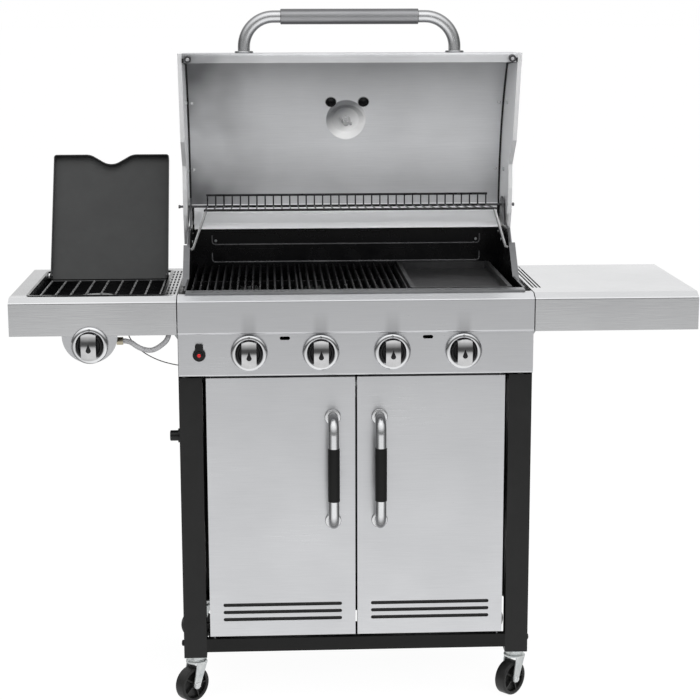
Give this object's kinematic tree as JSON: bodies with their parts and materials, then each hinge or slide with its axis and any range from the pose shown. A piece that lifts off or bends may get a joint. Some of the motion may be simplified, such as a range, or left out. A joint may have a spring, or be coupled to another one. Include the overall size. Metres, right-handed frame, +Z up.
{
  "type": "gas barbecue grill",
  "caption": "Gas barbecue on a caster cart with two doors, a hinged lid with heat gauge, cast grates, griddle, warming rack, side shelves and a lidded side burner.",
  "frame": {"origin": "centre of the footprint's bounding box, on the floor", "axes": "+X to the right seen from the front, +Y to the back, +Z up"},
  "size_m": [1.33, 0.5079, 1.3755],
  "materials": {
    "black_paint": "satin",
    "grey_paint": "satin",
    "stainless": "brushed",
    "chrome": "polished",
    "enamel": "satin",
    "zinc": "satin",
    "black_rubber": "matte",
    "grey_rubber": "matte",
    "black_plastic": "matte",
    "brass": "satin",
    "clear_glass": "polished",
    "red_paint": "satin"
  },
  "bodies": {
    "cart": {"back_panel": "black_paint", "bottom_shelf": "black_paint", "caster_plates": "zinc", "control_panel": "stainless", "cooking_grates": "enamel", "firebox": "enamel", "firebox_end_plates": "stainless", "gas_manifold": "zinc", "gas_valves": "brass", "griddle": "enamel", "heat_tents": "enamel", "hinge_pins": "zinc", "hinge_rod": "zinc", "igniter_housing": "black_plastic", "ignition_wire": "black_rubber", "knob_bezels": "chrome", "left_shelf": "stainless", "left_side_panel": "black_paint", "main_burners": "stainless", "right_shelf": "stainless", "right_side_panel": "black_paint", "shelf_brackets": "black_paint", "side_burner": "brass", "side_burner_grate": "enamel", "side_burner_pan": "stainless", "side_hose": "grey_rubber", "side_knob_bracket": "stainless", "tool_peg": "black_plastic", "warming_rack": "chrome"},
    "lid": {"lid_shell": "stainless", "lid_end_panels": "stainless", "lid_handle": "chrome", "lid_handle_grip": "black_rubber", "lid_bumpers": "black_rubber", "gauge_housing": "chrome", "gauge_lens": "clear_glass"},
    "gauge_pointer": {"gauge_pointer": "red_paint"},
    "side_lid": {"side_burner_lid": "grey_paint"},
    "grease_tray": {"grease_tray": "stainless"},
    "igniter_button": {"igniter_button": "black_plastic"},
    "left_door": {"left_door": "stainless", "left_door_handle": "chrome", "left_door_grip": "black_rubber"},
    "right_door": {"right_door": "stainless", "right_door_handle": "chrome", "right_door_grip": "black_rubber"},
    "knob_1": {"knob_1": "chrome"},
    "knob_2": {"knob_2": "chrome"},
    "knob_3": {"knob_3": "chrome"},
    "knob_4": {"knob_4": "chrome"},
    "knob_5": {"knob_5": "chrome"},
    "fork_front_left": {"caster_fork_front_left": "zinc"},
    "wheel_front_left": {"caster_wheel_front_left": "black_plastic"},
    "fork_front_right": {"caster_fork_front_right": "zinc"},
    "wheel_front_right": {"caster_wheel_front_right": "black_plastic"},
    "fork_rear_left": {"caster_fork_rear_left": "zinc"},
    "wheel_rear_left": {"caster_wheel_rear_left": "black_plastic"},
    "fork_rear_right": {"caster_fork_rear_right": "zinc"},
    "wheel_rear_right": {"caster_wheel_rear_right": "black_plastic"}
  },
  "joints": [
    {"name": "lid_hinge", "type": "hinge", "parent": "cart", "child": "lid", "pos_m": [0, 0.166, 0.966], "axis": [1, 0, 0], "range_deg": [0, 81.4]},
    {"name": "gauge_pointer_turn", "type": "hinge", "parent": "lid", "child": "gauge_pointer", "pos_m": [0, 0.22512, 1.14475], "axis": [0, -0.928, -0.3726], "range_deg": [0, 250], "stiffness_Nm_per_rad": 0.002},
    {"name": "side_lid_hinge", "type": "hinge", "parent": "cart", "child": "side_lid", "pos_m": [-0.5015, 0.115, 0.828], "axis": [1, 0, 0], "range_deg": [0, 118.2]},
    {"name": "left_door_hinge", "type": "hinge", "parent": "cart", "child": "left_door", "pos_m": [-0.284, -0.187, 0.14], "axis": [0, 0, -1], "range_deg": [0, 110]},
    {"name": "right_door_hinge", "type": "hinge", "parent": "cart", "child": "right_door", "pos_m": [0.284, -0.187, 0.14], "axis": [0, 0, 1], "range_deg": [0, 110]},
    {"name": "grease_tray_slide", "type": "slide", "parent": "cart", "child": "grease_tray", "axis": [0, 1, 0], "range_m": [0, 0.2]},
    {"name": "igniter_press", "type": "slide", "parent": "cart", "child": "igniter_button", "axis": [0, 1, 0], "range_m": [0, 0.003], "stiffness_N_per_m": 500},
    {"name": "knob_1_turn", "type": "hinge", "parent": "cart", "child": "knob_1", "pos_m": [-0.20775, -0.214, 0.722], "axis": [0, -1, 0], "range_deg": [0, 180]},
    {"name": "knob_2_turn", "type": "hinge", "parent": "cart", "child": "knob_2", "pos_m": [-0.06925, -0.214, 0.722], "axis": [0, -1, 0], "range_deg": [0, 180]},
    {"name": "knob_3_turn", "type": "hinge", "parent": "cart", "child": "knob_3", "pos_m": [0.06925, -0.214, 0.722], "axis": [0, -1, 0], "range_deg": [0, 180]},
    {"name": "knob_4_turn", "type": "hinge", "parent": "cart", "child": "knob_4", "pos_m": [0.20775, -0.214, 0.722], "axis": [0, -1, 0], "range_deg": [0, 180]},
    {"name": "knob_5_turn", "type": "hinge", "parent": "cart", "child": "knob_5", "pos_m": [-0.512, -0.222, 0.742], "axis": [0, -1, 0], "range_deg": [0, 180]},
    {"name": "swivel_front_left", "type": "hinge", "parent": "cart", "child": "fork_front_left", "pos_m": [-0.32325, -0.165, 0.082], "axis": [0, 0, 1], "continuous": true},
    {"name": "wheel_spin_front_left", "type": "hinge", "parent": "fork_front_left", "child": "wheel_front_left", "pos_m": [-0.33203, -0.17318, 0.035], "axis": [0.682, -0.7314, 0], "continuous": true},
    {"name": "swivel_front_right", "type": "hinge", "parent": "cart", "child": "fork_front_right", "pos_m": [0.32325, -0.165, 0.082], "axis": [0, 0, 1], "continuous": true},
    {"name": "wheel_spin_front_right", "type": "hinge", "parent": "fork_front_right", "child": "wheel_front_right", "pos_m": [0.31447, -0.17318, 0.035], "axis": [0.682, -0.7314, 0], "continuous": true},
    {"name": "swivel_rear_left", "type": "hinge", "parent": "cart", "child": "fork_rear_left", "pos_m": [-0.32325, 0.179, 0.082], "axis": [0, 0, 1], "continuous": true},
    {"name": "wheel_spin_rear_left", "type": "hinge", "parent": "fork_rear_left", "child": "wheel_rear_left", "pos_m": [-0.33453, 0.1749, 0.035], "axis": [0.342, -0.9397, 0], "continuous": true},
    {"name": "swivel_rear_right", "type": "hinge", "parent": "cart", "child": "fork_rear_right", "pos_m": [0.32325, 0.179, 0.082], "axis": [0, 0, 1], "continuous": true},
    {"name": "wheel_spin_rear_right", "type": "hinge", "parent": "fork_rear_right", "child": "wheel_rear_right", "pos_m": [0.31197, 0.1749, 0.035], "axis": [0.342, -0.9397, 0], "continuous": true}
  ]
}
